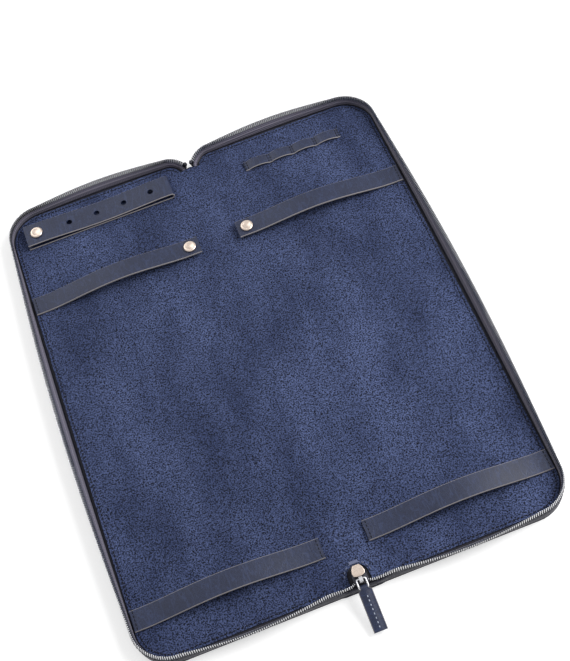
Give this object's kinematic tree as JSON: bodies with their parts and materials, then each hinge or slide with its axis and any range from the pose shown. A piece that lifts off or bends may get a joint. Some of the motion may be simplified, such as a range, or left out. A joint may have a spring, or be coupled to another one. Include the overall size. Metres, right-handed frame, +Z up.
{
  "type": "zip-round tie case",
  "caption": "Long leather case in two shallow padded trays on a folding spine, zipped round the rim, with straps for neckties, cuff links and collar stays.",
  "frame": {"origin": "underside of the spine at the middle of the open case, on the table", "axes": "+X across the open case to the right tray, +Y along its length away from the zip slider, +Z up out of the trays"},
  "size_m": [0.3148, 0.4158, 0.0163],
  "materials": {
    "cover_leather": "pebbled",
    "strap_leather": "smooth, fine grain",
    "suede_lining": "napped suede",
    "stiffener": "plain",
    "padding": "wadding",
    "zip_fabric": "woven tape",
    "zip_metal": "gunmetal",
    "nickel": "polished nickel"
  },
  "bodies": {
    "spine": {"spine_cover": "cover_leather", "spine_board": "stiffener", "spine_padding": "padding", "spine_lining": "suede_lining", "spine_end_wall": "cover_leather", "zip_bottom_stop": "nickel", "left_zip_end_chain": "zip_metal", "right_zip_end_chain": "zip_metal", "left_zip_end_tape": "zip_fabric", "right_zip_end_tape": "zip_fabric"},
    "left_leaf": {"left_cover": "cover_leather", "left_board": "stiffener", "left_padding": "padding", "left_lining": "suede_lining", "left_gusset": "cover_leather", "left_zip_tape": "zip_fabric", "left_zip_chain": "zip_metal", "left_top_stop": "nickel", "left_tail_strap": "strap_leather", "left_tie_strap_tab": "strap_leather", "left_snap_rivet": "nickel", "left_snap_stud": "nickel", "cuff_strap_base": "strap_leather", "cuff_snap_rivet": "nickel", "cuff_snap_stud": "nickel"},
    "right_leaf": {"right_cover": "cover_leather", "right_board": "stiffener", "right_padding": "padding", "right_lining": "suede_lining", "right_gusset": "cover_leather", "right_zip_tape": "zip_fabric", "right_zip_chain": "zip_metal", "right_top_stop": "nickel", "right_tail_strap": "strap_leather", "right_tie_strap_tab": "strap_leather", "right_snap_rivet": "nickel", "right_snap_stud": "nickel", "collar_stay_band": "strap_leather"},
    "left_tie_flap": {"left_tie_strap": "strap_leather", "left_snap_socket": "nickel", "left_snap_cap": "nickel"},
    "right_tie_flap": {"right_tie_strap": "strap_leather", "right_snap_socket": "nickel", "right_snap_cap": "nickel"},
    "cuff_flap": {"cuff_strap": "strap_leather", "cuff_snap_socket": "nickel", "cuff_snap_cap": "nickel"},
    "zip_slider": {"slider_body": "nickel", "slider_bridge": "nickel", "slider_cap": "nickel"},
    "zip_puller": {"puller_link": "nickel", "puller_tab": "strap_leather"}
  },
  "joints": [
    {"name": "left_leaf_fold", "type": "hinge", "parent": "spine", "child": "left_leaf", "pos_m": [-0.0123, 0, 0.0027], "axis": [0, 1, 0], "range_deg": [0, 90]},
    {"name": "right_leaf_fold", "type": "hinge", "parent": "spine", "child": "right_leaf", "pos_m": [0.0123, 0, 0.0027], "axis": [0, -1, 0], "range_deg": [0, 90]},
    {"name": "left_tie_strap_lift", "type": "hinge", "parent": "left_leaf", "child": "left_tie_flap", "pos_m": [-0.139, 0.1053, 0.0072], "axis": [0, 1, 0], "range_deg": [-105, 0]},
    {"name": "right_tie_strap_lift", "type": "hinge", "parent": "right_leaf", "child": "right_tie_flap", "pos_m": [0.139, 0.1053, 0.0072], "axis": [0, -1, 0], "range_deg": [-105, 0]},
    {"name": "cuff_strap_lift", "type": "hinge", "parent": "left_leaf", "child": "cuff_flap", "pos_m": [-0.02685, 0.1673, 0.0113], "axis": [0, -1, 0], "range_deg": [-110, 0]},
    {"name": "slider_slide", "type": "slide", "parent": "spine", "child": "zip_slider", "axis": [0, 1, 0], "range_m": [0, 0.0025]},
    {"name": "puller_swing", "type": "hinge", "parent": "zip_slider", "child": "zip_puller", "pos_m": [0, -0.1872, 0.013], "axis": [-1, 0, 0], "range_deg": [0, 100]}
  ]
}
